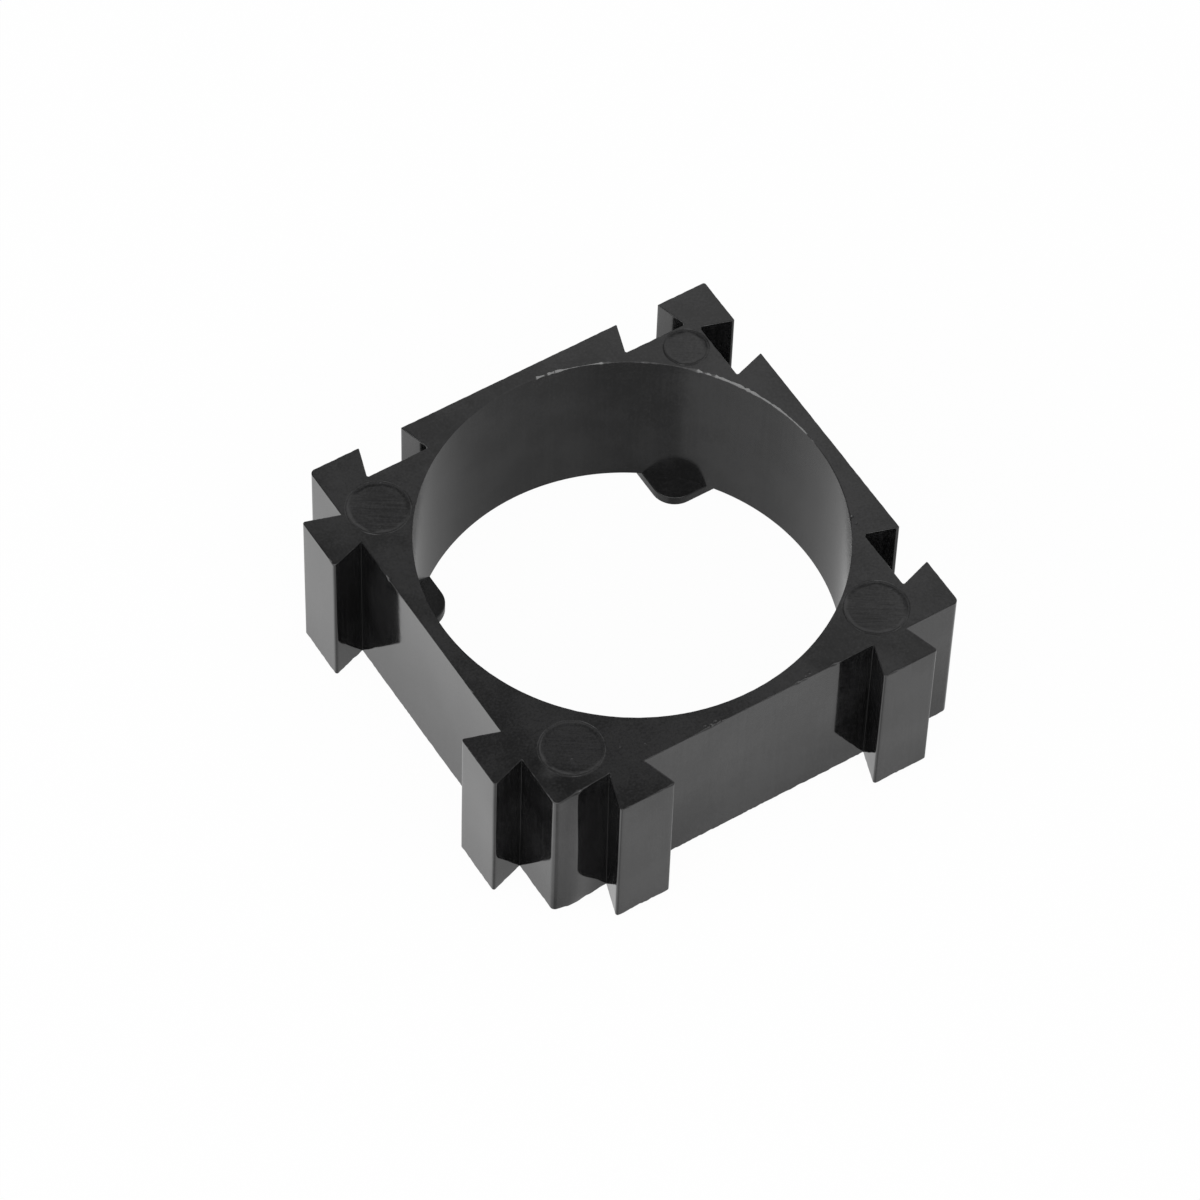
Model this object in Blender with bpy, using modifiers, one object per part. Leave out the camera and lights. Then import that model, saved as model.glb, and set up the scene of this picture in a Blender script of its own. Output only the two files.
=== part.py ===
# Battery cell holder bracket: one moulded square ring that grips the end of a round cell.
# Two neighbouring sides carry dovetail tongues, the other two the matching slots, so that
# brackets lock side by side into a pack. Four feet under the corners reach into the bore and
# stop the cell, and leave a crossing of two channels for the nickel strips between them.
# Run in Blender 4.5: blender --background --python part.py. Metres, +Z up, origin at the
# middle of the bounding box on the bottom face.

import math

import bmesh
import bpy
from mathutils import Matrix, Vector

# Body
BODY_SIDE = 0.0200
BODY_HEIGHT = 0.00805
BORE_DIAMETER = 0.01864

# Dovetails: the slots follow the tongues, with a clearance on the flanks and a gap at the faces
DOVETAIL_SPACING = 0.0130  # between the two dovetails of one side
TONGUE_ROOT_WIDTH = 0.00168
TONGUE_DEPTH = 0.00162
FLANK_CLEARANCE = 0.00019
FACE_GAP = 0.00010  # left between the bodies of two brackets that are locked together
FLANK_ANGLE = math.radians(18)

# Corners, seen from above
FRONT_CORNER_RADIUS = 0.00024  # between the two sides with tongues
SIDE_CORNER_RADIUS = 0.00025
BACK_CORNER_RADIUS = 0.00012  # between the two sides with slots
TONGUE_TIP_RADIUS = 0.00012
TONGUE_ROOT_RADIUS = 0.00008
SLOT_LIP_RADIUS = 0.00008
SLOT_FLOOR_RADIUS = 0.00012
FILLET_LIMIT_SHARE = 0.45  # most that a fillet takes of the shorter side beside it

# Rims of the top and bottom faces
RIM_RADIUS = 0.00005
RIM_LIMIT_SHARE = 0.5  # most that it takes of the sharpest corner beside it
RIM_STEPS = 2
RIM_LEAST_ANGLE = math.radians(62)

# Feet: a pad under each corner, whose round inner corner is the tab that stops the cell
FOOT_HEIGHT = 0.00045
CHANNEL_WIDTH = 0.01092  # between two feet
TAB_TIP_RADIUS = 0.00110
TAB_STEP = 0.00005  # by which a tab stands above the lower end of the bore, and its foot runs into the body
FOOT_CORNER_RADIUS = 0.00040
FOOT_SLOT_LAND = 0.00018  # between a foot and the floor of the slot beside it

# Marks of the ejector pins in the top face
PIN_DIAMETER = 0.00290
BACK_PIN_DIAMETER = 0.00206
PIN_MARK_DEPTH = 0.00003
PIN_RIM_LAND = 0.00009  # between the rim of the bore and the marks that stand closest to it
FRONT_PIN_LAND = 0.00044
SIDE_PIN_ANGLE = math.radians(6.1)  # by which the side marks lie off the diagonal

# Facets
BORE_FACETS = 96
PIN_FACETS = 32
CORNER_STEP = math.radians(26)
CUT_OVERRUN = 0.00050
WELD_DISTANCE = 0.0000005
FLAT_ANGLE = math.radians(0.2)
SMOOTH_ANGLE = math.radians(40)

# Worked out from the sizes above
HALF_SIDE = BODY_SIDE / 2
TOP = FOOT_HEIGHT + BODY_HEIGHT
BORE_RADIUS = BORE_DIAMETER / 2
FLANK_SPREAD = math.tan(FLANK_ANGLE)
TONGUE_TIP_WIDTH = TONGUE_ROOT_WIDTH + 2 * TONGUE_DEPTH * FLANK_SPREAD
SLOT_DEPTH = TONGUE_DEPTH - FACE_GAP
SLOT_MOUTH_WIDTH = TONGUE_ROOT_WIDTH + 2 * FLANK_CLEARANCE
SLOT_FLOOR_WIDTH = SLOT_MOUTH_WIDTH + 2 * SLOT_DEPTH * FLANK_SPREAD
AXIS = Vector((TONGUE_DEPTH / 2, TONGUE_DEPTH / 2, 0))  # the bore's, from the origin
QUARTER_TURN = math.pi / 2

PLASTIC_COLOUR = (0.020, 0.020, 0.021, 1)
PLASTIC_ROUGHNESS = 0.32


# Scene

def clear_scene():
    for old in list(bpy.data.objects):
        bpy.data.objects.remove(old, do_unlink=True)


def new_collection(name):
    collection = bpy.data.collections.new(name)
    bpy.context.scene.collection.children.link(collection)
    return collection


def plastic(name, colour, roughness):
    material = bpy.data.materials.new(name)
    material.use_nodes = True
    shader = material.node_tree.nodes["Principled BSDF"]
    shader.inputs["Base Color"].default_value = colour
    shader.inputs["Roughness"].default_value = roughness
    shader.inputs["Metallic"].default_value = 0
    material.diffuse_color = colour
    return material


# Outlines

def rounded(corners):
    """The outline through these (point, radius) corners, each with its arc where it has a radius."""
    outline = []
    for index, (corner, radius) in enumerate(corners):
        if radius == 0:
            outline.append(corner)
            continue
        before = corners[index - 1][0] - corner
        after = corners[(index + 1) % len(corners)][0] - corner
        half_angle = before.angle(after) / 2
        longest = FILLET_LIMIT_SHARE * min(before.length, after.length)
        reach = min(radius / math.tan(half_angle), longest)
        start = corner + before.normalized() * reach
        towards_centre = (before.normalized() + after.normalized()).normalized()
        centre = corner + towards_centre * reach / math.cos(half_angle)
        turn = math.pi - 2 * half_angle
        if before.cross(after) > 0:
            turn = -turn
        steps = max(1, math.ceil(abs(turn) / CORNER_STEP))
        for step in range(steps + 1):
            outline.append(centre + Matrix.Rotation(turn * step / steps, 2) @ (start - centre))
    return outline


def arc(radius, start, end, facets):
    """Points round the bore's axis, both ends among them."""
    angles = [start + (end - start) * step / facets for step in range(facets + 1)]
    return [Vector((radius * math.cos(angle), radius * math.sin(angle))) for angle in angles]


def tongue(centre):
    """Corners of a tongue along its side: (distance along it, distance out of it, radius)."""
    root = TONGUE_ROOT_WIDTH / 2
    tip = TONGUE_TIP_WIDTH / 2
    return [
        (centre - root, 0, TONGUE_ROOT_RADIUS),
        (centre - tip, TONGUE_DEPTH, TONGUE_TIP_RADIUS),
        (centre + tip, TONGUE_DEPTH, TONGUE_TIP_RADIUS),
        (centre + root, 0, TONGUE_ROOT_RADIUS),
    ]


def slot(centre):
    """Corners of a slot along its side, as those of a tongue."""
    mouth = SLOT_MOUTH_WIDTH / 2
    floor = SLOT_FLOOR_WIDTH / 2
    return [
        (centre - mouth, 0, SLOT_LIP_RADIUS),
        (centre - floor, -SLOT_DEPTH, SLOT_FLOOR_RADIUS),
        (centre + floor, -SLOT_DEPTH, SLOT_FLOOR_RADIUS),
        (centre + mouth, 0, SLOT_LIP_RADIUS),
    ]


def body_outline():
    """The four sides in turn, counter-clockwise from the front corner."""
    sides = [
        (tongue, FRONT_CORNER_RADIUS),
        (slot, SIDE_CORNER_RADIUS),
        (slot, BACK_CORNER_RADIUS),
        (tongue, SIDE_CORNER_RADIUS),
    ]
    corners = []
    for number, (dovetail, corner_radius) in enumerate(sides):
        along_side = [(-HALF_SIDE, 0, corner_radius)]
        along_side += dovetail(-DOVETAIL_SPACING / 2)
        along_side += dovetail(DOVETAIL_SPACING / 2)
        turn = Matrix.Rotation(number * QUARTER_TURN, 2)
        for along, outwards, radius in along_side:
            corners.append((turn @ Vector((along, -HALF_SIDE - outwards)), radius))
    return rounded(corners)


def foot_outline(quarter):
    """A foot between two channels: its inner corner is the tab, and its outer sides clear the slots."""
    inner = CHANNEL_WIDTH / 2
    outer = HALF_SIDE - SLOT_DEPTH - FOOT_SLOT_LAND
    corners = [
        (inner, inner, TAB_TIP_RADIUS),
        (outer, inner, FOOT_CORNER_RADIUS),
        (outer, outer, FOOT_CORNER_RADIUS),
        (inner, outer, FOOT_CORNER_RADIUS),
    ]
    turn = Matrix.Rotation(quarter * QUARTER_TURN, 2)
    return rounded([(turn @ Vector((across, along)), radius) for across, along, radius in corners])


# Solids

def extruded(name, outlines, bottom, top):
    """A prism over flat outlines: the first is its edge, the rest are holes in it."""
    curve = bpy.data.curves.new(name, "CURVE")
    curve.dimensions = "2D"
    curve.fill_mode = "BOTH"
    curve.extrude = (top - bottom) / 2
    for outline in outlines:
        spline = curve.splines.new("POLY")
        spline.points.add(len(outline) - 1)
        for point, place in zip(spline.points, outline):
            point.co = (place.x, place.y, 0, 1)
        spline.use_cyclic_u = True
    drawn = bpy.data.objects.new(name, curve)
    drawn.location = AXIS + Vector((0, 0, (bottom + top) / 2))
    bpy.context.scene.collection.objects.link(drawn)
    bpy.context.view_layer.update()
    evaluated = drawn.evaluated_get(bpy.context.evaluated_depsgraph_get())
    mesh = bpy.data.meshes.new_from_object(evaluated)
    place = drawn.matrix_world.copy()
    bpy.data.objects.remove(drawn, do_unlink=True)
    shape = bmesh.new()
    shape.from_mesh(mesh)
    bmesh.ops.remove_doubles(shape, verts=shape.verts, dist=WELD_DISTANCE)
    bmesh.ops.dissolve_limit(shape, angle_limit=FLAT_ANGLE, verts=shape.verts, edges=shape.edges)
    bmesh.ops.recalc_face_normals(shape, faces=shape.faces)
    shape.to_mesh(mesh)
    shape.free()
    solid = bpy.data.objects.new(name, mesh)
    solid.matrix_world = place
    return solid


def cylinder(name, radius, facets, place, bottom, top):
    shape = bmesh.new()
    bmesh.ops.create_cone(
        shape, cap_ends=True, segments=facets, radius1=radius, radius2=radius, depth=top - bottom
    )
    mesh = bpy.data.meshes.new(name)
    shape.to_mesh(mesh)
    shape.free()
    solid = bpy.data.objects.new(name, mesh)
    solid.location = AXIS + Vector((place.x, place.y, (bottom + top) / 2))
    return solid


def as_cutter(helper, collection):
    helper.display_type = "WIRE"
    helper.hide_render = True
    collection.objects.link(helper)
    return helper


def combine(body, helper, operation):
    modifier = body.modifiers.new(helper.name, "BOOLEAN")
    modifier.operation = operation
    modifier.solver = "EXACT"
    modifier.object = helper


# Pieces of the mould's shape

def bracket_body():
    bore = arc(BORE_RADIUS, 0, 2 * math.pi, BORE_FACETS)[1:]
    return extruded("cell_holder_bracket", [body_outline(), bore], FOOT_HEIGHT, TOP)


def corner_feet():
    """Four pads under the body, from the tabs in the bore to beside the slots."""
    return [
        extruded(f"{name}_foot", [foot_outline(quarter)], 0, FOOT_HEIGHT + TAB_STEP)
        for quarter, name in enumerate(["back", "left", "front", "right"])
    ]


def pin_marks():
    """Shallow round marks on the diagonals of the top face, three large ones and a small one."""
    close = BORE_RADIUS + PIN_RIM_LAND + PIN_DIAMETER / 2
    places = {
        "front": (BORE_RADIUS + FRONT_PIN_LAND + PIN_DIAMETER / 2, 5, 0, PIN_DIAMETER),
        "left": (close, 3, SIDE_PIN_ANGLE, PIN_DIAMETER),
        "right": (close, -1, -SIDE_PIN_ANGLE, PIN_DIAMETER),
        "back": (BORE_RADIUS + PIN_RIM_LAND + BACK_PIN_DIAMETER / 2, 1, 0, BACK_PIN_DIAMETER),
    }
    marks = []
    for name, (distance, diagonal, shift, diameter) in places.items():
        direction = diagonal * QUARTER_TURN / 2 + shift
        place = Vector((distance * math.cos(direction), distance * math.sin(direction)))
        bottom = TOP - PIN_MARK_DEPTH
        marks.append(
            cylinder(f"{name}_pin_mark", diameter / 2, PIN_FACETS, place, bottom, TOP + CUT_OVERRUN)
        )
    return marks


def round_rims(piece):
    sharpest = min(TONGUE_TIP_RADIUS, SLOT_LIP_RADIUS, BACK_CORNER_RADIUS)
    bevel = piece.modifiers.new("rims", "BEVEL")
    bevel.width = min(RIM_RADIUS, RIM_LIMIT_SHARE * sharpest)
    bevel.segments = RIM_STEPS
    bevel.limit_method = "ANGLE"
    bevel.angle_limit = RIM_LEAST_ANGLE
    bevel.use_clamp_overlap = False


def build():
    clear_scene()
    bracket = new_collection("battery_cell_holder_bracket")
    cutters = new_collection("cutters")
    body = bracket_body()
    bracket.objects.link(body)
    round_rims(body)
    for foot in corner_feet():
        round_rims(foot)
        combine(body, as_cutter(foot, cutters), "UNION")
    for mark in pin_marks():
        combine(body, as_cutter(mark, cutters), "DIFFERENCE")
    body.data.materials.append(plastic("black_moulded_plastic", PLASTIC_COLOUR, PLASTIC_ROUGHNESS))
    body.data.shade_smooth()
    body.data.set_sharp_from_angle(angle=SMOOTH_ANGLE)


build()
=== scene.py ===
import math

import bpy
import numpy as np
from mathutils import Matrix, Vector, geometry


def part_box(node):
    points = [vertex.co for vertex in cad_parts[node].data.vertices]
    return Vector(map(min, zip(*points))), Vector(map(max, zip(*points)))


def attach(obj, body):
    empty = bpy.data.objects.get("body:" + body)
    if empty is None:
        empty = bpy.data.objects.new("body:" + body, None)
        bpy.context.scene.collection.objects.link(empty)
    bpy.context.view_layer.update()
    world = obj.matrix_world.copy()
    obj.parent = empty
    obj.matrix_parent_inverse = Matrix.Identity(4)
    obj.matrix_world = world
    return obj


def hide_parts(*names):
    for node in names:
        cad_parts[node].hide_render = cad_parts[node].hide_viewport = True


print("stage 1: the packed frame")
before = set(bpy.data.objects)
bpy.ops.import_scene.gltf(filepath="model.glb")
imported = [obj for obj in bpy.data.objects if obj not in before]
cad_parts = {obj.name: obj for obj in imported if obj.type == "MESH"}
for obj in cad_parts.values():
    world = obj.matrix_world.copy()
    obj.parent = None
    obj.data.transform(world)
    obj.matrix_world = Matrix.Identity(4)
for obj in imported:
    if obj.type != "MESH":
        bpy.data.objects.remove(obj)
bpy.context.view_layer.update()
partName = "cell_holder_bracket"
partLow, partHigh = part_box(partName)
mm = 0.001  # everything below is in millimetres, up to the moment a mesh is made


# Sizes of the bracket. What can be read from the frame is read from it.
bracket = {
    "tongueDepth": 1.62,  # how far the dovetail tongues stand out
    "tongueRoot": 1.68,  # their width where they leave the side
    "flankAngle": 18.0,  # degrees
    "flankClearance": 0.19,  # a slot is wider than a tongue by this on each flank
    "faceGap": 0.10,  # a slot is shallower than a tongue by this
    "dovetailSpacing": 13.0,
    "boreDiameter": 18.64,
    "frontCorner": 0.22,  # corner radii, seen from above
    "sideCorner": 0.25,
    "backCorner": 0.12,
    "tongueTip": 0.11,
    "tongueHeel": 0.006,
    "slotLip": 0.05,
    "slotFloor": 0.07,
    "cornerSteps": 8,
    "straightStep": 0.12,  # longest facet along a straight stretch
    "boreFacets": 420,
    "topRim": 0.026,  # radii of the worn-off edges
    "bottomRim": 0.060,
    "boreRim": 0.010,
    "boreFoot": 0.018,
    "rimSteps": 4,
    "rimWaver": 0.30,  # how much a rim's radius wanders along the edge, as a share
    "rimWave": 0.5,  # shortest wave of that, along the edge
    "guard": 0.02,  # a narrow flat band behind each rim keeps the faces flat in the shading
    "guardRoom": 1.3,  # widths of that band that a rim leaves free beside an ejector mark
    "sharpFrom": 40.0,  # degrees between two faces from which their edge is shaded sharp
    "skin": 0.03,  # the top face lies this far under the tips of its burrs
    "rowStep": 0.4,  # height of a row of facets on the walls
    "sink": 0.005,  # how far in the moulded walls lie on average, and half of how far their waves reach in
    "waves": [(9, 1.1, 0), (17, -0.7, 1), (29, 0.5, 2)],  # number round the outline, twist with height, phase
    "grit": 0.45,  # share of a rim's radius that changes from point to point
    "ragged": (0.2, 1.0),  # shares between which a torn edge changes from point to point
    "raggedCorner": 0.6,  # share of a torn edge's depth on a corner's arc
    "longestTear": 2.0,  # an edge worn over a longer stretch than this isn't ragged
}

# The strip of wall between the front corner and the front tongue; places on it count from the corner.
strip = {
    "lean": 0.22,  # how much further out its foot stands than its top
    "leanMiddle": 0.80,  # share of its height where it stands in the side's plane
    "leanWithin": 1.0,  # the lean and the belly have their full size from here on
    "bellyUntil": 2.2,  # and the belly is gone from here on
    "belly": 0.20,  # how far it swells at half height
    "bellyPower": 0.5,
    "dish": 0.16,  # how far it falls back towards the tongue's heel
    "dishFrom": 0.3,
    "slideWithin": 0.8,  # this near the heel it follows the tongue's flank
    "behind": 0.3,  # points this far behind the side's plane, or this far in front of it, belong to it
    "before": 0.02,
    "flankReach": 1.2,  # the flank's points lie within this many times its width
}

# Torn places of the edges: where from the bore's axis, half-length, and the most that they add to the radius
wear = {
    "topRim": [
        (-2.4, -10.0, 0.55, 0.12), (1.9, -10.0, 0.15, 0.12), (2.3, -10.0, 0.12, 0.10),
        (3.7, -10.0, 0.18, 0.12), (-11.6, 5.3, 0.20, 0.10), (-10.0, 3.4, 0.12, 0.12),
        (-5.3, -11.6, 0.25, 0.08), (-8.9, -10.0, 0.50, 0.12), (-7.3, -10.0, 0.08, 0.12),
        (5.7, -11.6, 0.40, 0.07), (-5.9, -11.6, 0.20, 0.07), (-11.6, -6.0, 0.50, 0.05),
        (-10.0, -10.0, 0.30, 0.06), (-10.0, 0.5, 1.20, 0.03), (0.5, -10.0, 1.00, 0.03),
        (-10.0, -3.5, 0.60, 0.03),
    ],
    "bottomRim": [
        (2.3, -10.0, 0.15, 0.05), (-1.2, -10.0, 0.12, 0.03), (5.2, -10.0, 0.15, 0.03),
        (-7.0, -11.6, 0.40, 0.06), (6.5, -11.6, 0.60, 0.04), (-11.6, -5.6, 0.50, 0.05),
    ],
    "boreRim": [
        (9.00, 2.40, 0.80, 0.070), (8.40, 4.05, 0.95, 0.110), (7.55, 5.50, 0.80, 0.110),
        (6.95, 6.20, 0.35, 0.080), (9.27, 1.05, 0.30, 0.070), (1.00, 9.27, 0.30, 0.085),
        (1.75, 9.15, 0.45, 0.095), (3.85, 8.50, 0.32, 0.090), (5.60, 7.45, 0.50, 0.060),
        (-1.5, 9.20, 1.00, 0.020), (8.47, -4.00, 0.35, 0.080), (9.3, -2.0, 3.00, 0.025),
    ],
}
height = (partHigh.z - partLow.z) / mm
footHeight = 0.45  # the body stands this high on its feet
bodySide = (partHigh.x - partLow.x) / mm - bracket["tongueDepth"]
boreAxis = np.array([bracket["tongueDepth"] / 2, bracket["tongueDepth"] / 2])
boreRadius = bracket["boreDiameter"] / 2


def meshFrom(name, points, faces, smooth=True):  # points in millimetres, round the bore's axis
    mesh = bpy.data.meshes.new(name)
    placed = np.array(points, float)
    placed[:, :2] += boreAxis
    mesh.from_pydata((placed * mm).tolist(), [], faces)
    mesh.validate()
    mesh.update()
    if smooth:
        mesh.shade_smooth()
    else:
        mesh.shade_flat()
    piece = bpy.data.objects.new(name, mesh)
    bpy.context.scene.collection.objects.link(piece)
    return piece


def gridFaces(rows, columns, first=0):  # quads of a closed grid whose rows lie one after another
    row, column = np.meshgrid(np.arange(rows - 1), np.arange(columns), indexing="ij")
    here = first + row * columns + column
    beside = first + row * columns + (column + 1) % columns
    return np.stack([here, beside, beside + columns, here + columns], -1).reshape(-1, 4)


def insideLoop(points, loop):  # a ray along X from a point inside crosses the loop an odd number of times
    x, y = points.T[..., None]
    x1, y1 = loop.T
    x2, y2 = np.roll(loop, -1, axis=0).T
    level = y1 == y2
    crossing = x1 + (y - y1) * (x2 - x1) / (y2 - y1 + level)
    return (((y1 > y) != (y2 > y)) & (x < crossing)).sum(axis=1) % 2 == 1


def flatFill(loops):  # triangles inside the first closed loop and outside the others
    points = np.concatenate(loops)
    edges = []
    first = 0
    for loop in loops:
        number = np.arange(len(loop))
        edges += (first + np.stack([number, (number + 1) % len(loop)], -1)).tolist()
        first += len(loop)
    found = geometry.delaunay_2d_cdt([Vector(p) for p in points], edges, [], 1, 1e-7)
    triangles = np.array([list(face) for face in found[2]])
    middles = points[triangles].mean(axis=1)
    for hole in loops[1:]:
        solid = ~insideLoop(middles, hole)
        triangles, middles = triangles[solid], middles[solid]
    return triangles


# The plan outline: straight stretches and corner arcs, with the outward normal of each point.
def dovetailCorners(centre, standsOut):
    root = bracket["tongueRoot"] / 2
    depth = bracket["tongueDepth"]
    rootRound, tipRound = bracket["tongueHeel"], bracket["tongueTip"]
    if not standsOut:
        root += bracket["flankClearance"]
        depth = bracket["faceGap"] - depth
        rootRound, tipRound = bracket["slotLip"], bracket["slotFloor"]
    tip = root + abs(depth) * math.tan(math.radians(bracket["flankAngle"]))
    return [
        (centre - root, 0, rootRound),
        (centre - tip, depth, tipRound),
        (centre + tip, depth, tipRound),
        (centre + root, 0, rootRound),
    ]


def planCorners():
    half = bodySide / 2
    shift = bracket["dovetailSpacing"] / 2
    sides = [(True, "frontCorner"), (False, "sideCorner"), (False, "backCorner"), (True, "sideCorner")]
    corners = []
    for number, (standsOut, cornerName) in enumerate(sides):
        turned = number * math.pi / 2
        turn = np.array([[math.cos(turned), -math.sin(turned)], [math.sin(turned), math.cos(turned)]])
        stretch = [(-half, 0, bracket[cornerName])]
        stretch += dovetailCorners(-shift, standsOut) + dovetailCorners(shift, standsOut)
        corners += [(turn @ np.array([along, -half - out]), radius) for along, out, radius in stretch]
    return corners


class Loop:  # a closed line seen from above, with what it takes to draw it again further in
    def __init__(self, points, normals, limits, mitres):
        self.points, self.normals, self.limits, self.mitres = points, normals, limits, mitres
        steps = np.hypot(*(np.roll(points, -1, axis=0) - points).T)
        self.along = np.concatenate([[0], np.cumsum(steps)[:-1]])
        self.length = steps.sum()

    def inset(self, distance):  # along the normal until a corner's radius is used up, then along its mitre
        straight = np.minimum(distance, self.limits)
        return self.points - self.normals * straight[:, None] - self.mitres * (distance - straight)[:, None]


def roundedLoop(corners, steps, longest):
    arcs = []
    for index, (corner, radius) in enumerate(corners):
        before = corners[index - 1][0] - corner
        after = corners[(index + 1) % len(corners)][0] - corner
        before, after = before / np.hypot(*before), after / np.hypot(*after)
        bulges = 1 if before[0] * after[1] < before[1] * after[0] else -1  # 1 where the corner stands out
        halfAngle = math.acos(np.clip(before @ after, -1, 1)) / 2
        inwards = (before + after) / np.hypot(*(before + after)) / math.sin(halfAngle)
        centre = corner + inwards * radius
        first = corner + before * radius / math.tan(halfAngle) - centre
        sweep = (math.pi - 2 * halfAngle) * bulges
        angles = math.atan2(first[1], first[0]) + sweep * np.linspace(0, 1, steps + 1)
        spokes = np.stack([np.cos(angles), np.sin(angles)], -1)
        limit = 0.95 * radius if bulges > 0 else np.inf  # just short of the arc's middle
        arcs.append((centre + radius * spokes, bulges * spokes, limit, -inwards))
    points, normals, limits, mitres = [], [], [], []
    for index, (arc, spokes, limit, mitre) in enumerate(arcs):
        gap = arcs[(index + 1) % len(arcs)][0][0] - arc[-1]
        pieces = max(1, math.ceil(np.hypot(*gap) / longest))
        share = np.arange(1, pieces)[:, None] / pieces
        points += [arc, arc[-1] + share * gap]
        normals += [spokes, np.repeat(spokes[-1:], pieces - 1, axis=0)]
        limits += [np.full(len(arc), limit), np.full(pieces - 1, np.inf)]
        mitres += [np.repeat([mitre], len(arc), axis=0), np.zeros((pieces - 1, 2))]
    return Loop(*(np.concatenate(part) for part in (points, normals, limits, mitres)))


def holeLoop(radius, count):  # a circle whose normals point into the hole
    turn = np.linspace(0, 2 * math.pi, count, endpoint=False)
    spokes = np.stack([np.cos(turn), np.sin(turn)], -1)
    return Loop(radius * spokes, -spokes, np.full(count, np.inf), np.zeros_like(spokes))


# Ejector-pin marks in the top face, by their direction from the bore's axis in degrees
pinMarks = {
    "large": 2.90,
    "small": 2.06,
    "facets": 180,
    "profile": [  # in from the edge, and up from the top face: a step down to the pin's own flat end
        (0, 0), (0.012, 0), (0.024, -0.009), (0.040, -0.014), (0.058, -0.004), (0.076, 0.002),
        (0.100, -0.003), (0.130, -0.010), (0.160, -0.012), (0.300, -0.012), (0.500, -0.012),
    ],
    "uneven": 0.75,  # the profile's mean height, as a share, and how much its waves change it
    "unevenWaves": 0.35 / 3,
    "unevenCount": 12,
    "unevenRange": (0.1, 1.6),  # limits of the height
    "even": (0.10, 0.16),  # where its unevenness ends, in from the edge
    "crumb": 0.030,  # height of the crumb of plastic on the front mark's ring
    "crumbAt": 198.0,  # its direction and half-length in degrees
    "crumbReach": 17.0,
    "crumbIn": 0.035,  # its distance in from the edge and its half-width
    "crumbWidth": 0.02,
    "places": [(225, 11.21, "large"), (141.1, 10.86, "large"), (-51.1, 10.86, "large"), (45, 10.44, "small")],
}


def markCircles():
    circles = []
    for direction, distance, size in pinMarks["places"]:
        angle = math.radians(direction)
        centre = distance * np.array([math.cos(angle), math.sin(angle)])
        circles.append((centre, pinMarks[size] / 2))
    return circles


def rimAlong(loop, rim, seed):  # a rim's radius at each point, with a sum of sines round the closed edge
    draw = np.random.default_rng(seed)
    count = np.arange(3, round(loop.length / bracket["rimWave"]))  # waves round the edge
    strength = draw.normal(size=len(count)) / math.sqrt(len(count))
    phase = draw.uniform(0, 2 * math.pi, len(count))
    turns = 2 * math.pi * np.outer(loop.along / loop.length, count)
    straight = np.isinf(loop.limits)
    grit = 1 + bracket["grit"] * draw.uniform(-1, 1, len(straight)) * straight
    radius = bracket[rim] * (1 + bracket["rimWaver"] * (strength * np.sin(turns + phase)).sum(axis=1)) * grit
    for x, y, reach, extra in wear[rim]:  # a bell curve of the distance from the torn place, cut up at random
        away = np.hypot(*(loop.points - (x, y)).T)
        ragged = 1
        if reach < bracket["longestTear"]:
            ragged = np.where(straight, draw.uniform(*bracket["ragged"], len(away)), bracket["raggedCorner"])
        radius += extra * np.exp(-((away / reach) ** 2)) * ragged
    room = bracket["guardRoom"] * bracket["guard"] + 2 * bracket["sink"]
    for centre, markRadius in markCircles():  # a mark close by narrows it
        land = np.hypot(*(loop.points - centre).T) - markRadius
        radius = np.minimum(radius, land - room)
    return radius


# A wall: its loop carried up, with a quarter round at each rim and a narrow flat band on both sides of it.
# draw gives how far in the wall lies at each point of the loop at a height, and how far the point slides.
def wallGrid(loop, bottomRim, topRim, bottom, top, draw=None, steps=bracket["rimSteps"]):
    angle = np.linspace(0, math.pi / 2, steps + 1)
    guard = bracket["guard"]
    upper = [(0, 1, guard, 0)]
    upper += [(1 - math.cos(a), 1 - math.sin(a), 0, 0) for a in angle]
    upper += [(1, 0, 0, guard)]
    rows = [
        (inset * bottomRim + behind, bottom + drop * bottomRim + below)
        for inset, drop, below, behind in upper[::-1]
    ]
    if draw:
        margin = bracket["rowStep"]
        between = np.arange(bottom + margin, top - margin / 2, margin)
        rows += [(np.zeros_like(bottomRim), np.full_like(bottomRim, z)) for z in between]
    rows += [(inset * topRim + behind, top - drop * topRim - below) for inset, drop, below, behind in upper]
    grid = []
    for inset, z in rows:
        further, slide = draw(loop, z) if draw else (0, 0)
        grid.append(np.column_stack([loop.inset(inset + further) + slide, z]))
    return np.concatenate(grid), len(grid)


def smooth(value, low, high):  # 0 up to low, 1 from high, smooth between them
    share = np.clip((value - low) / (high - low), 0, 1)
    return share * share * (3 - 2 * share)


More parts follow.
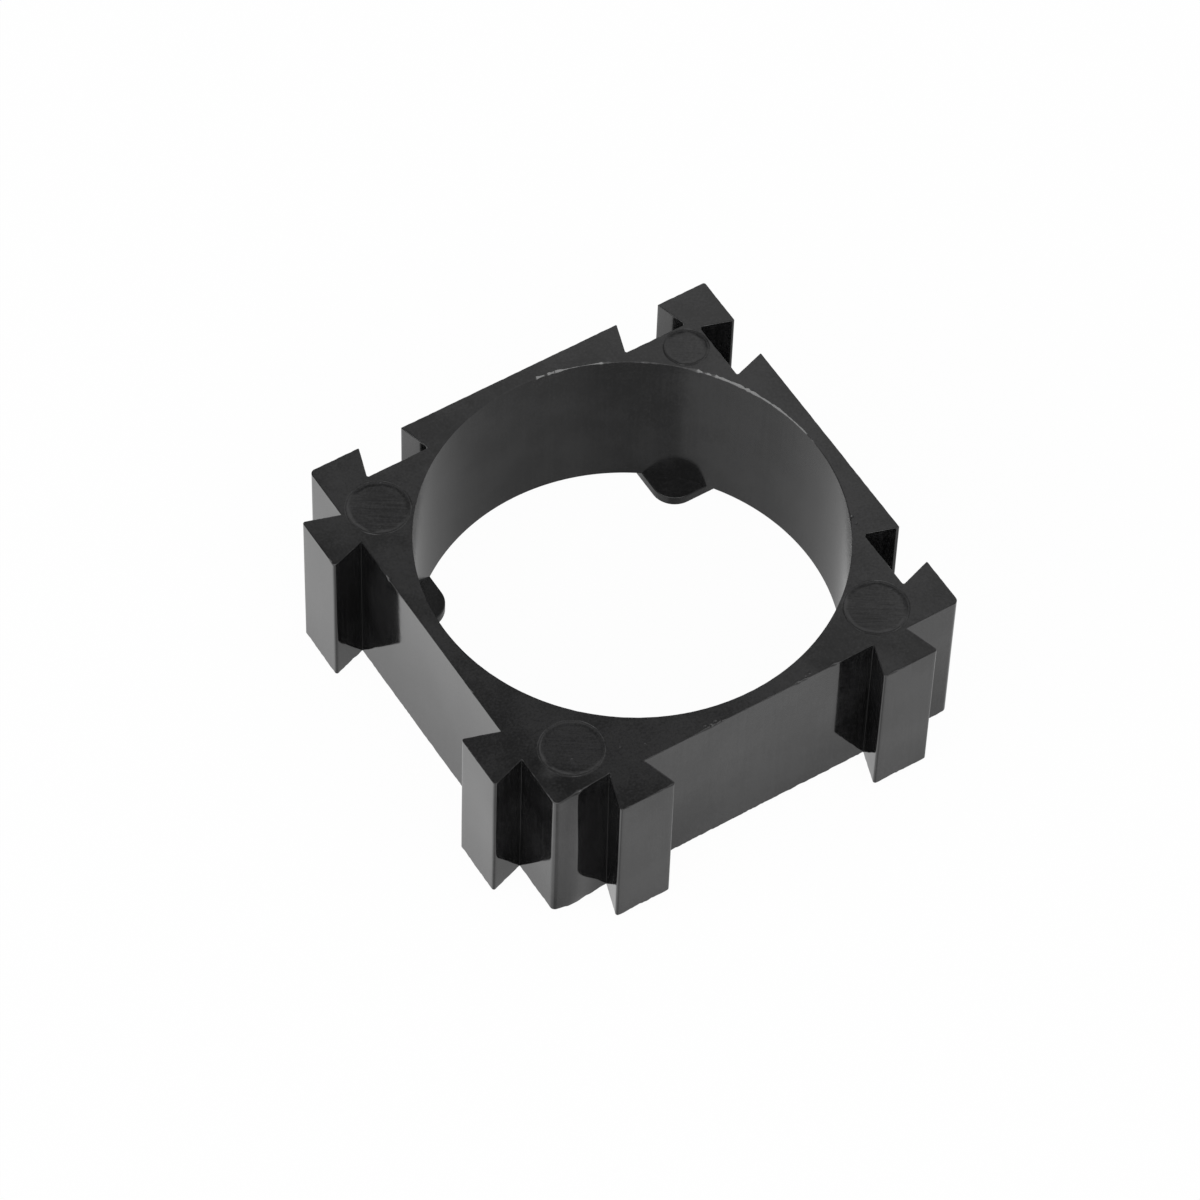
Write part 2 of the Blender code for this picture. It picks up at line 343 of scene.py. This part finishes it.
# How far in each point of the outline lies at a height, and how far it slides. The walls wave in by slow
# sines along them and up them. The strip beside the front corner leans as a straight line and swells as a
# power of a sine of the height, and the tongue's flank there slides along itself to stay joined to it.
def wallWaves(loop, z):
    turns = 2 * math.pi * loop.along / loop.length
    wave = sum(np.sin(count * turns + twist * z + phase) for count, twist, phase in bracket["waves"])
    x, y = loop.points.T
    side, heel = bodySide / 2, (bracket["dovetailSpacing"] + bracket["tongueRoot"]) / 2
    rise = np.clip((z - footHeight) / (height - footHeight), 0, 1)
    full = smooth(x, -side, strip["leanWithin"] - side)
    lean = strip["lean"] * (strip["leanMiddle"] - rise) * full
    dished = np.clip((x + side - strip["dishFrom"]) / (side - heel - strip["dishFrom"]), 0, 1)
    lean = lean - strip["dish"] * dished
    belly = strip["belly"] * np.sin(math.pi * rise) ** strip["bellyPower"]
    belly = belly * full * (1 - smooth(x, strip["leanWithin"] - side, strip["bellyUntil"] - side))
    slope = math.tan(math.radians(bracket["flankAngle"]))
    out = np.clip((-side - y) / bracket["tongueDepth"], 0, 1)
    onStrip = (y < strip["behind"] - side) & (y > -strip["before"] - side) & (x < strip["before"] - heel)
    onFlank = (y < -side) & (x < -heel) & (x > -heel - strip["flankReach"] * slope * bracket["tongueDepth"])
    down = np.where(onFlank, lean * (1 - out), onStrip * (lean + belly))
    aside = down * slope * np.where(onFlank, 1, smooth(x, -strip["slideWithin"] - heel, -heel))
    return bracket["sink"] * (1 + wave / len(bracket["waves"])), np.stack([-aside, -down], -1)


def pinMark(centre, radius, first, seed):  # the profile turned about the mark's centre, uneven near the edge
    inwards, rise = np.array(pinMarks["profile"]).T
    turn = np.linspace(0, 2 * math.pi, pinMarks["facets"], endpoint=False)
    spokes = np.stack([np.cos(turn), np.sin(turn)], -1)
    draw = np.random.default_rng(seed)
    phase = draw.uniform(0, 2 * math.pi, pinMarks["unevenCount"])
    waves = np.sin(np.outer(turn, 1 + np.arange(pinMarks["unevenCount"])) + phase).sum(axis=1)
    uneven = np.clip(pinMarks["uneven"] + pinMarks["unevenWaves"] * waves, *pinMarks["unevenRange"])
    nearEdge = 1 - smooth(inwards, *pinMarks["even"])
    flat = centre + (radius - inwards)[:, None, None] * spokes[None]
    lift = rise[:, None] * (1 + (uneven - 1) * nearEdge[:, None])
    if seed == 0:  # the front mark has a crumb on its ring
        turned = (turn - math.radians(pinMarks["crumbAt"]) + math.pi) % (2 * math.pi) - math.pi
        along = np.exp(-((turned / math.radians(pinMarks["crumbReach"])) ** 2))
        across = np.exp(-(((inwards - pinMarks["crumbIn"]) / pinMarks["crumbWidth"]) ** 2))
        lift = lift + pinMarks["crumb"] * along * across[:, None]
    grid = np.concatenate([flat, height - bracket["skin"] + lift[..., None]], -1).reshape(-1, 3)
    points = np.vstack([grid, [*centre, height - bracket["skin"] + rise[-1]]])
    count = pinMarks["facets"]
    faces = gridFaces(len(rise), count, first).tolist()
    last = first + (len(rise) - 1) * count + np.arange(count)
    ahead = first + (len(rise) - 1) * count + (np.arange(count) + 1) % count
    faces += np.stack([last, ahead, np.full(count, first + len(grid))], -1).tolist()
    return points, faces


def bracketBody():
    side = roundedLoop(planCorners(), bracket["cornerSteps"], bracket["straightStep"])
    hole = holeLoop(boreRadius, bracket["boreFacets"])
    topRim = rimAlong(side, "topRim", 11)
    bottomRim = rimAlong(side, "bottomRim", 12)
    top = height - bracket["skin"]
    outer, outerRows = wallGrid(side, bottomRim, topRim, footHeight, top, wallWaves)
    boreRim = rimAlong(hole, "boreRim", 13)
    boreFoot = np.full_like(boreRim, bracket["boreFoot"])
    bore, boreRows = wallGrid(hole, boreFoot, boreRim, footHeight, top, steps=1)

    count, boreCount = len(side.points), bracket["boreFacets"]
    boreFirst = len(outer)
    points = [outer, bore]
    faces = gridFaces(outerRows, count).tolist()
    faces += gridFaces(boreRows, boreCount, boreFirst)[:, ::-1].tolist()
    following = boreFirst + len(bore)
    circles, starts = [], []
    for seed, (centre, radius) in enumerate(markCircles()):
        made, madeFaces = pinMark(centre, radius, following, seed)
        points.append(made)
        faces += madeFaces
        circles.append(made[: pinMarks["facets"], :2])
        starts.append(following)
        following += len(made)

    topOuter = (outerRows - 1) * count
    topBore = boreFirst + (boreRows - 1) * boreCount
    topIndex = np.concatenate(
        [topOuter + np.arange(count), topBore + np.arange(boreCount)]
        + [start + np.arange(pinMarks["facets"]) for start in starts]
    )
    topLoops = [outer[topOuter:, :2], bore[-boreCount:, :2]] + circles
    faces += topIndex[flatFill(topLoops)].tolist()
    bottomIndex = np.concatenate([np.arange(count), boreFirst + np.arange(boreCount)])
    bottomLoops = [outer[:count, :2], bore[:boreCount, :2]]
    faces += bottomIndex[flatFill(bottomLoops)][:, ::-1].tolist()
    return meshFrom("bracketShell", np.concatenate(points), faces)


# Feet: pads under the corners, whose round inner corners reach into the bore as the cell's tabs
feet = {
    "channel": 10.92,  # between two feet
    "slotLand": 0.18,  # between a foot and the floor of the slot beside it
    "tip": 1.10,
    "corner": 0.40,
    "rim": 0.035,
    "step": 0.045,  # a tab stands this far above the lower end of the bore
    "cornerSteps": 14,
}


def footPlate(name, quarter):  # the plate under one corner, turned by quarters from the back one
    inner = feet["channel"] / 2
    outer = bodySide / 2 - bracket["tongueDepth"] + bracket["faceGap"] - feet["slotLand"]
    square = [(inner, inner, "tip"), (outer, inner, "corner")]
    square += [(outer, outer, "corner"), (inner, outer, "corner")]
    turned = quarter * math.pi / 2
    turn = np.array([[math.cos(turned), -math.sin(turned)], [math.sin(turned), math.cos(turned)]])
    ring = [(turn @ np.array([x, y]), feet[radius]) for x, y, radius in square]
    loop = roundedLoop(ring, feet["cornerSteps"], bracket["straightStep"])
    count = len(loop.points)
    rim = np.full(count, feet["rim"])
    grid, rows = wallGrid(loop, rim, rim, 0, footHeight + feet["step"])
    faces = gridFaces(rows, count).tolist()
    faces += [np.arange(count)[::-1].tolist(), ((rows - 1) * count + np.arange(count)).tolist()]
    return meshFrom(name, grid, faces)


def joinFeet(shell):
    plates = []
    for quarter in range(4):
        plates.append(footPlate(f"foot{quarter}", quarter))
        joined = shell.modifiers.new(plates[-1].name, "BOOLEAN")
        joined.operation = "UNION"
        joined.solver = "EXACT"
        joined.object = plates[-1]
    bpy.context.view_layer.update()
    evaluated = shell.evaluated_get(bpy.context.evaluated_depsgraph_get())
    whole = bpy.data.meshes.new_from_object(evaluated)
    shell.modifiers.clear()
    shell.data = whole
    for plate in plates:
        bpy.data.objects.remove(plate, do_unlink=True)
    whole.shade_smooth()
    whole.set_sharp_from_angle(angle=math.radians(bracket["sharpFrom"]))


print("stage 2: the moulded ring")
shell = bracketBody()
joinFeet(shell)
print("triangles", sum(len(face.vertices) - 2 for face in shell.data.polygons))


# Materials
class Wire:  # a socket of a node tree, on which sums and products add Math nodes
    def __init__(self, board, socket):
        self.board, self.socket = board, socket

    def math(self, operation, first, second):
        return self.board.add("ShaderNodeMath", {"operation": operation}, {0: first, 1: second})

    def __add__(self, other):
        return self.math("ADD", self, other)

    def __radd__(self, other):
        return self.math("ADD", other, self)

    def __sub__(self, other):
        return self.math("SUBTRACT", self, other)

    def __rsub__(self, other):
        return self.math("SUBTRACT", other, self)

    def __mul__(self, other):
        return self.math("MULTIPLY", self, other)

    def __rmul__(self, other):
        return self.math("MULTIPLY", other, self)

    def larger(self, other):
        return self.math("MAXIMUM", self, other)

    def size(self):  # without its sign
        return self.math("ABSOLUTE", self, 0.0)


class Board:  # one node tree, empty at first
    def __init__(self, tree):
        self.tree = tree
        tree.nodes.clear()

    def add(self, kind, settings=None, inputs=None, output=0):
        node = self.tree.nodes.new(kind)
        for name, value in (settings or {}).items():
            setattr(node, name, value)
        for name, value in (inputs or {}).items():
            socket = node.inputs[name]
            if isinstance(value, Wire):
                self.tree.links.new(value.socket, socket)
            else:
                socket.default_value = value
        return Wire(self, node.outputs[output]) if len(node.outputs) else None

    def step(self, value, low, high):  # 0 up to low, 1 from high, smooth between them
        return self.add(
            "ShaderNodeMapRange", {"interpolation_type": "SMOOTHSTEP"},
            {"Value": value, "From Min": low, "From Max": high},
        )

    def noise(self, place, size, detail=2.0, stretch=(1, 1, 1)):  # size: length of one wave, in millimetres
        scaled = self.add(
            "ShaderNodeVectorMath", {"operation": "MULTIPLY"},
            {0: place, 1: [share / (size * mm) for share in stretch]},
        )
        return self.add("ShaderNodeTexNoise", {}, {"Vector": scaled, "Scale": 1.0, "Detail": detail})

    def away(self, place, point):  # distance from a point, in millimetres, seen from above
        flat = self.add("ShaderNodeVectorMath", {"operation": "MULTIPLY"}, {0: place, 1: (1, 1, 0)})
        target = (*(np.array(point) * mm), 0)
        length = self.add("ShaderNodeVectorMath", {"operation": "DISTANCE"}, {0: flat, 1: target}, output=1)
        return length * (1 / mm)


plastic = {
    "darkColour": (0.0040, 0.0040, 0.0042),
    "paleColour": (0.0150, 0.0150, 0.0154),
    "roughness": 0.07,
    "cloudRoughness": 0.10,  # how much it varies in clouds over the faces
    "boreRoughness": 0.09,  # added inside the bore
    "boreFrom": (0.10, 0.02),  # where the bore's wall begins, out from its radius
    "ringRoughness": 0.10,  # added on the ring of each ejector mark
    "ringFrom": (0.01, -0.03),  # where the ring begins and ends, out from the mark's radius
    "ringUntil": (-0.20, -0.10),
    "markFrom": (-0.05, -0.15),  # and where the scratched face begins
    "topFrom": (0.10, 0.05),  # where the top face begins, down from the part's top
    "ior": 1.58,
    "cloudSize": 2.6,  # millimetres, as the sizes below
    "cloudDetail": 4.0,
    "waveSize": 1.4,
    "grainSize": 0.11,
    "streakSize": 0.12,
    "streakStretch": 0.02,  # width of the noise as a share of its length
    "brushedSize": 0.176,
    "brushedStretch": 0.12,
    "brushedTurn": -34.0,  # direction of the scratches on the ejector marks, in degrees from X
    "cloudRange": (0.3, 0.7),  # values of the clouds' noise between which the colour goes from dark to pale
    "grainShade": 2.5,  # what the fine noises add to that
    "streakShade": 1.2,
    "bumpDepth": 0.0025,  # height of one wave of the slow noise; the heights below are shares of it
    "topWave": 1.0,  # more of it on the top face
    "grainRelief": 0.02,
    "topGrain": 0.08,
    "streakRelief": 0.03,
    "brushedRelief": 0.60,
    "speckRelief": 2.0,  # height and width of a speck whose own height and size below are 1
    "speckSpread": 1.2,
    "specks": [  # specks on the top face: where, size and height, before the two values above
        (-6.17, -8.87, 0.05, 4.0), (-7.32, -9.92, 0.06, 5.0), (-8.21, -8.39, 0.06, -5.0),
        (8.55, -3.95, 0.08, -6.0), (8.50, -4.35, 0.06, -6.0), (-9.96, 3.62, 0.06, 4.0),
        (-8.9, 5.9, 0.06, -3.0), (-7.7, 7.9, 0.05, -3.0), (-5.2, -9.3, 0.05, -4.0),
        (7.9, -8.0, 0.06, -3.0), (2.6, -9.80, 0.08, 6.0), (-2.1, -9.88, 0.09, -7.0),
        (-2.35, -9.92, 0.07, -7.0), (-2.6, -9.86, 0.08, -6.0), (-1.9, -9.92, 0.06, 6.0),
        (2.35, -9.9, 0.06, -7.0),
    ],
}


def blackPlastic():
    material = bpy.data.materials.new("blackMouldedPlastic")
    material.use_nodes = True
    board = Board(material.node_tree)
    place = board.add("ShaderNodeTexCoord", output="Object")
    cloud = board.noise(place, plastic["cloudSize"], detail=plastic["cloudDetail"])
    wave = board.noise(place, plastic["waveSize"])
    grain = board.noise(place, plastic["grainSize"])
    drawn = (1, 1, plastic["streakStretch"])  # up the walls, by the mould
    streak = board.noise(place, plastic["streakSize"], stretch=drawn)
    turned = board.add(
        "ShaderNodeVectorRotate", {"rotation_type": "Z_AXIS"},
        {"Vector": place, "Angle": -math.radians(plastic["brushedTurn"])},
    )
    scratched = (plastic["brushedStretch"], 1, 1)
    brushed = board.noise(turned, plastic["brushedSize"], stretch=scratched)
    speckled = 0
    for x, y, reach, rise in plastic["specks"]:
        gap = board.away(place, boreAxis + (x, y))
        speckled = rise * board.step(gap, plastic["speckSpread"] * reach, 0.0) + speckled
    onRing = 0
    onMark = 0
    for centre, radius in markCircles():
        gap = board.away(place, centre + boreAxis) - radius
        onMark = board.step(gap, *plastic["markFrom"]) + onMark
        onRing = board.step(gap, *plastic["ringFrom"]) * board.step(gap, *plastic["ringUntil"]) + onRing
    level = board.add("ShaderNodeSeparateXYZ", {}, {0: place}, output=2)
    onTop = board.step(level, *((height - depth) * mm for depth in plastic["topFrom"]))
    fromAxis = board.away(place, boreAxis)
    inBore = board.step(fromAxis, *(boreRadius + gap for gap in plastic["boreFrom"])) * (1 - onTop)
    onRing = onRing * onTop
    onMark = onMark * onTop
    shade = board.step(cloud, *plastic["cloudRange"])
    shade = shade + plastic["grainShade"] * (grain - 0.5) + plastic["streakShade"] * (streak - 0.5)
    colour = board.add(
        "ShaderNodeMix", {"data_type": "RGBA"},
        {"Factor": shade, "A": (*plastic["darkColour"], 1), "B": (*plastic["paleColour"], 1)}, output=2,
    )
    rough = plastic["roughness"] + plastic["cloudRoughness"] * (cloud - 0.5)
    rough = rough + plastic["ringRoughness"] * onRing + plastic["boreRoughness"] * inBore
    relief = (1 + plastic["topWave"] * onTop) * wave
    relief = relief + (plastic["grainRelief"] + plastic["topGrain"] * onTop) * grain
    relief = relief + plastic["streakRelief"] * streak * (1 - onTop)
    relief = relief + plastic["brushedRelief"] * brushed * onMark + plastic["speckRelief"] * speckled * onTop
    bump = board.add(
        "ShaderNodeBump", {}, {"Strength": 1.0, "Distance": plastic["bumpDepth"] * mm, "Height": relief}
    )
    shader = board.add(
        "ShaderNodeBsdfPrincipled", {},
        {"Base Color": colour, "Roughness": rough, "Normal": bump, "IOR": plastic["ior"], "Metallic": 0.0},
    )
    board.add("ShaderNodeOutputMaterial", {}, {"Surface": shader})
    return material


print("stage 3: materials")
shell.data.materials.clear()
shell.data.materials.append(blackPlastic())
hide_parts(partName)
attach(shell, "root")


# Floor, light and camera
studio = {
    "floorSide": 4000.0,
    "floorAlbedo": 0.85,
    "shadowShare": 0.03,  # how much of the floor's real shading shows under the white
    "white": 0.985,  # what the camera itself sees of the tent
    "tentLow": 0.25,  # the tent away from the camera, below and above its shoulder
    "tentHigh": 0.675,
    "shoulder": (0.60, 0.76),
    "ceiling": 0.0,  # strength of the ceiling that fills the tent's top
    "ceilingFrom": (0.765, 0.85),  # heights between which it begins
    "ceilingTilt": 0.30,  # how much lower it begins towards the left
    "skyBright": 1.60,  # how much brighter the tent is towards the camera
    "skyCentre": (-0.3227, -0.4842, 0.8127),
    "skyWrap": 0.2,  # how far that reaches past a right angle from its centre, as a cosine
}
mirrored = {  # what the plastic mirrors of the table below it, by the direction that the light comes from, and the painted shade laid on the floor over it
    "back": 0.85,  # strength from behind
    "beyond": 1.33,  # from straight across the ring
    "left": 1.02,
    "front": 0.57,  # from the camera's side
    "right": 0.74,
    "beyondFrom": 55.0,  # directions in degrees, with half the width of each change
    "beyondFromBlur": 8.0,
    "leftFrom": 84.0,
    "leftFromBlur": 12.0,
    "frontFrom": 212.7,
    "frontFromBlur": 3.0,
    "rightFrom": 261.7,
    "rightFromBlur": 7.0,
    "backFrom": 345.0,
    "backFromBlur": 10.0,
    "start": 20.0,  # the directions run from here, once round
    "horizon": (-0.30, 0.05),  # heights between which the table's light changes to the tent's
    "hole": 0.45,  # painted shade on the floor: share of the table's light that is left inside the ring
    "holeEdge": (0.6, -0.2),  # outside and inside the bore's radius
    "near": 0.72,  # and outside: painted shade close to the walls, and the share away from them
    "far": 1.04,
    "farWithin": 4.0,  # mm from the walls
    "twice": 0.12,  # painted shade: share that is left after a second reflection, in the recesses
    "second": (1.2, 1.8),  # numbers of reflections between which it sets in
}
softBoxes = {  # direction from the object, distance, width, height and radiance of each lamp
    "leftSoftBox": ((-0.88, -0.08, 0.47), 600.0, 700.0, 200.0, 3.5),
    "frontSoftBox": ((-0.03, -0.83, 0.55), 600.0, 340.0, 120.0, 3.0),
}
camera = {
    "position": (-91.044, -134.309, 229.968),  # from the bore's axis, at the foot of the body
    "aim": (-1.346, 0.265, 4.025),
    "roll": 2.144,  # degrees
    "focalPixels": 6486.8,
    "framePixels": 1200,
    "sensor": 36.0,
    "clip": (0.01, 20),  # metres
}


def makeFloor():  # white paper; where the plastic mirrors it, the table's light comes through it under a painted shade that is darker inside the bore, close to the walls and in the recesses
    half = studio["floorSide"] / 2
    corners = [(-half, -half, 0), (half, -half, 0), (half, half, 0), (-half, half, 0)]
    floor = meshFrom("studioFloor", corners, [(0, 1, 2, 3)], smooth=False)
    material = bpy.data.materials.new("paleFloor")
    material.use_nodes = True
    board = Board(material.node_tree)
    place = board.add("ShaderNodeTexCoord", output="Object")
    camRay = board.add("ShaderNodeLightPath", output="Is Camera Ray")
    glossy = board.add("ShaderNodeLightPath", output="Is Glossy Ray")
    through = board.add("ShaderNodeLightPath", output="Is Transmission Ray")
    bounces = board.add("ShaderNodeLightPath", output="Glossy Depth")
    x, y = (
        board.add("ShaderNodeSeparateXYZ", {}, {0: place}, output=axis) * (1 / mm) - boreAxis[axis]
        for axis in (0, 1)
    )
    side = bodySide / 2
    # painted shade on the floor, seen only in the plastic's reflections: darker close to the walls, after a
    # second reflection and inside the bore
    farther = board.step(x.size().larger(y.size()), side, side + mirrored["farWithin"])
    shade = mirrored["near"] + (mirrored["far"] - mirrored["near"]) * farther
    shade = shade * (1 - (1 - mirrored["twice"]) * board.step(bounces, *mirrored["second"]))
    inside = board.step(board.away(place, boreAxis), *(boreRadius + gap for gap in mirrored["holeEdge"]))
    shade = shade + (mirrored["hole"] - shade) * inside
    paper = board.add("ShaderNodeBsdfDiffuse", {}, {"Color": (studio["floorAlbedo"],) * 3 + (1,)})
    white = board.add("ShaderNodeEmission", {}, {"Color": (1, 1, 1, 1), "Strength": 1.0})
    black = board.add("ShaderNodeEmission", {}, {"Color": (0, 0, 0, 1), "Strength": 0.0})
    clear = board.add("ShaderNodeBsdfTransparent", {}, {"Color": (1, 1, 1, 1)})
    seen = board.add("ShaderNodeMath", {"operation": "MINIMUM"}, {0: camRay + through, 1: 1.0})
    plain = board.add("ShaderNodeMixShader", {}, {0: seen * (1 - studio["shadowShare"]), 1: paper, 2: white})
    # the painted shade lets that share of the table's light through, and black stands in for the rest
    mirror = board.add("ShaderNodeMixShader", {}, {0: shade, 1: black, 2: clear})
    mixed = board.add("ShaderNodeMixShader", {}, {0: glossy, 1: plain, 2: mirror})
    board.add("ShaderNodeOutputMaterial", {}, {"Surface": mixed})
    floor.data.materials.append(material)


def tableLight(board, x, y):  # strength by the direction seen from above, in degrees from X
    opposite = math.radians(mirrored["start"] + 180)
    ahead = x * math.cos(opposite) + y * math.sin(opposite)
    across = y * math.cos(opposite) - x * math.sin(opposite)
    heading = across.math("ARCTAN2", across, ahead) * (180 / math.pi) + (mirrored["start"] + 180)
    light = mirrored["back"]
    order = ("back", "beyond", "left", "front", "right", "back")
    for before, after in zip(order, order[1:]):
        change, blur = mirrored[after + "From"], mirrored[after + "FromBlur"]
        turned = board.step(heading, change - blur, change + blur)
        light = light + (mirrored[after] - mirrored[before]) * turned
    return light


def makeWorld():  # a tent that is brightest on the camera's side: the cube of a share of the cosine to it
    world = bpy.data.worlds.new("softTent")
    world.use_nodes = True
    bpy.context.scene.world = world
    board = Board(world.node_tree)
    direction = board.add("ShaderNodeTexCoord", output="Generated")
    x, y, z = (board.add("ShaderNodeSeparateXYZ", {}, {0: direction}, output=axis) for axis in range(3))
    toCentre = board.add(
        "ShaderNodeVectorMath", {"operation": "DOT_PRODUCT"}, {0: direction, 1: studio["skyCentre"]}, output=1
    )
    share = ((toCentre + studio["skyWrap"]) * (1 / (1 + studio["skyWrap"]))).larger(0.0)
    wall = studio["tentLow"] + (studio["tentHigh"] - studio["tentLow"]) * board.step(z, *studio["shoulder"])
    over = board.step(z - studio["ceilingTilt"] * (x + studio["skyCentre"][0]), *studio["ceilingFrom"])
    sky = wall + (studio["ceiling"] - wall) * over + studio["skyBright"] * share * share * share
    table = tableLight(board, x, y)
    light = table + (sky - table) * board.step(z, *mirrored["horizon"])
    camRay = board.add("ShaderNodeLightPath", output="Is Camera Ray")
    tent = board.add(
        "ShaderNodeBackground", {},
        {"Color": (1, 1, 1, 1), "Strength": light + camRay * (studio["white"] - light)},
    )
    board.add("ShaderNodeOutputWorld", {}, {"Surface": tent})


def makeLamps():
    for name, (direction, distance, width, tall, radiance) in softBoxes.items():
        data = bpy.data.lights.new(name, "AREA")
        data.shape = "RECTANGLE"
        data.size, data.size_y = width * mm, tall * mm
        data.energy = radiance * math.pi * width * tall * mm ** 2
        lamp = bpy.data.objects.new(name, data)
        place = Vector(direction).normalized() * distance * mm
        lamp.matrix_world = Matrix.Translation(place) @ place.to_track_quat("Z", "Y").to_matrix().to_4x4()
        lamp.visible_camera = False
        bpy.context.scene.collection.objects.link(lamp)


def makeCamera():
    data = bpy.data.cameras.new("photoCamera")
    data.sensor_width = camera["sensor"]
    data.lens = camera["focalPixels"] / camera["framePixels"] * camera["sensor"]
    eye = Vector(camera["position"]) + Vector((*boreAxis, footHeight))
    aim = Vector(camera["aim"]) + Vector((*boreAxis, footHeight))
    eye, aim = eye * mm, aim * mm
    turn = (aim - eye).to_track_quat("-Z", "Y").to_matrix().to_4x4()
    roll = Matrix.Rotation(math.radians(camera["roll"]), 4, "Z")
    holder = bpy.data.objects.new("photoCamera", data)
    holder.matrix_world = Matrix.Translation(eye) @ turn @ roll
    data.clip_start, data.clip_end = camera["clip"]
    bpy.context.scene.collection.objects.link(holder)
    bpy.context.scene.camera = holder


print("stage 4: studio")
makeFloor()
makeWorld()
makeLamps()
makeCamera()
bpy.context.scene.view_settings.view_transform = "Standard"

print("stage 5: done")
